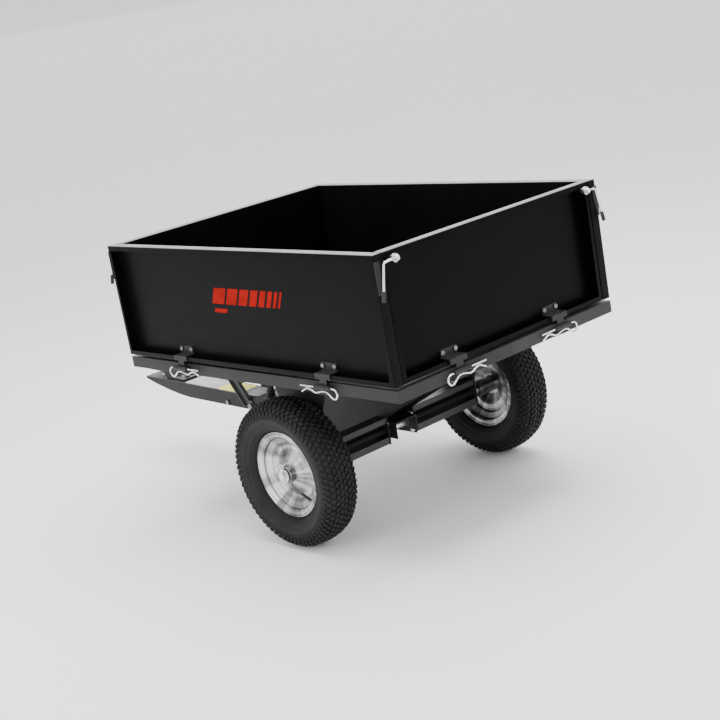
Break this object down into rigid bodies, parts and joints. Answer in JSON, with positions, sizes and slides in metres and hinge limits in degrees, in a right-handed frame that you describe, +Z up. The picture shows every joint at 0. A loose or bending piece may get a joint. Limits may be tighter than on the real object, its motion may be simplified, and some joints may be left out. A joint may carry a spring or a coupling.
{
  "type": "tow behind cart",
  "caption": "Two-wheeled tipping garden cart with a steel drop-side box, hairpin-hinged panels, corner latches and a clevis drawbar for a small tractor.",
  "frame": {"origin": "on the ground under the middle of the whole cart's box, with the bed level", "axes": "+X towards the rear panel, -X towards the hitch, -Y the left side, +Z up"},
  "size_m": [1.6806, 0.866, 0.809],
  "materials": {
    "black_powder_coat": "semi-gloss black powder coat on folded steel sheet",
    "rim_silver": "bright silver painted pressed steel",
    "bright_zinc": "bright zinc-plated steel",
    "tyre_rubber": "matt moulded tyre rubber",
    "black_rubber": "soft black moulded rubber",
    "bush_plastic": "dark nylon"
  },
  "bodies": {
    "drawbar": {"drawbar_channel": "black_powder_coat", "hitch_jaw": "black_powder_coat", "jaw_bolts": "bright_zinc", "drawbar_bushes": "bush_plastic", "lever_bolts": "bright_zinc", "bump_stop": "black_rubber"},
    "bed": {"left_floor_pan": "black_powder_coat", "right_floor_pan": "black_powder_coat", "seam_bolts": "bright_zinc", "left_inner_gusset": "black_powder_coat", "right_inner_gusset": "black_powder_coat", "left_outer_gusset": "black_powder_coat", "right_outer_gusset": "black_powder_coat", "left_axle_beam": "black_powder_coat", "right_axle_beam": "black_powder_coat", "support_bolts": "bright_zinc", "axle_shaft": "bright_zinc", "axle_spacers": "bright_zinc", "axle_washers": "bright_zinc", "cotter_pins": "bright_zinc", "fixed_hinge_leaves": "black_powder_coat", "hinge_clips": "bright_zinc", "latch_striker": "black_powder_coat"},
    "left_panel": {"left_panel": "black_powder_coat", "left_panel_leaves": "black_powder_coat", "left_panel_bolts": "bright_zinc", "left_catch_plates": "black_powder_coat"},
    "right_panel": {"right_panel": "black_powder_coat", "right_panel_leaves": "black_powder_coat", "right_panel_bolts": "bright_zinc", "right_catch_plates": "black_powder_coat"},
    "front_panel": {"front_panel": "black_powder_coat", "front_panel_leaves": "black_powder_coat", "front_panel_bolts": "bright_zinc", "front_latch_studs": "bright_zinc"},
    "rear_panel": {"rear_panel": "black_powder_coat", "rear_panel_leaves": "black_powder_coat", "rear_panel_bolts": "bright_zinc", "rear_latch_studs": "bright_zinc"},
    "tip_lever": {"tip_lever": "black_powder_coat"},
    "left_wheel": {"left_tyre": "tyre_rubber", "left_rim": "rim_silver", "left_hub": "rim_silver", "left_bearings": "rim_silver", "left_valve_stem": "black_rubber"},
    "right_wheel": {"right_tyre": "tyre_rubber", "right_rim": "rim_silver", "right_hub": "rim_silver", "right_bearings": "rim_silver", "right_valve_stem": "black_rubber"},
    "front_left_latch": {"front_left_latch_lever": "bright_zinc", "front_left_latch_grip": "black_rubber"},
    "front_right_latch": {"front_right_latch_lever": "bright_zinc", "front_right_latch_grip": "black_rubber"},
    "rear_left_latch": {"rear_left_latch_lever": "bright_zinc", "rear_left_latch_grip": "black_rubber"},
    "rear_right_latch": {"rear_right_latch_lever": "bright_zinc", "rear_right_latch_grip": "black_rubber"}
  },
  "joints": [
    {"name": "bed_tip", "type": "hinge", "parent": "drawbar", "child": "bed", "pos_m": [0.3268, 0, 0.203], "axis": [0, 1, 0], "range_deg": [0, 45]},
    {"name": "left_panel_fold", "type": "hinge", "parent": "bed", "child": "left_panel", "pos_m": [0.2508, -0.414, 0.468], "axis": [1, 0, 0], "range_deg": [0, 150]},
    {"name": "right_panel_fold", "type": "hinge", "parent": "bed", "child": "right_panel", "pos_m": [0.2508, 0.414, 0.468], "axis": [-1, 0, 0], "range_deg": [0, 150]},
    {"name": "front_panel_fold", "type": "hinge", "parent": "bed", "child": "front_panel", "pos_m": [-0.3222, 0, 0.468], "axis": [0, -1, 0], "range_deg": [0, 112]},
    {"name": "rear_panel_fold", "type": "hinge", "parent": "bed", "child": "rear_panel", "pos_m": [0.8238, 0, 0.468], "axis": [0, 1, 0], "range_deg": [0, 180]},
    {"name": "left_wheel_spin", "type": "hinge", "parent": "bed", "child": "left_wheel", "pos_m": [0.3268, -0.377, 0.203], "axis": [0, 1, 0], "continuous": true},
    {"name": "right_wheel_spin", "type": "hinge", "parent": "bed", "child": "right_wheel", "pos_m": [0.3268, 0.377, 0.203], "axis": [0, 1, 0], "continuous": true},
    {"name": "tip_lever_swing", "type": "hinge", "parent": "drawbar", "child": "tip_lever", "pos_m": [-0.2772, 0, 0.21081], "axis": [0, 1, 0], "range_deg": [0, 25]},
    {"name": "front_left_latch_turn", "type": "hinge", "parent": "front_panel", "child": "front_left_latch", "pos_m": [-0.3242, -0.348, 0.79], "axis": [-1, 0, 0], "range_deg": [0, 120]},
    {"name": "front_right_latch_turn", "type": "hinge", "parent": "front_panel", "child": "front_right_latch", "pos_m": [-0.3242, 0.348, 0.79], "axis": [1, 0, 0], "range_deg": [0, 120]},
    {"name": "rear_left_latch_turn", "type": "hinge", "parent": "rear_panel", "child": "rear_left_latch", "pos_m": [0.8258, -0.348, 0.79], "axis": [-1, 0, 0], "range_deg": [0, 120]},
    {"name": "rear_right_latch_turn", "type": "hinge", "parent": "rear_panel", "child": "rear_right_latch", "pos_m": [0.8258, 0.348, 0.79], "axis": [1, 0, 0], "range_deg": [0, 120]}
  ]
}
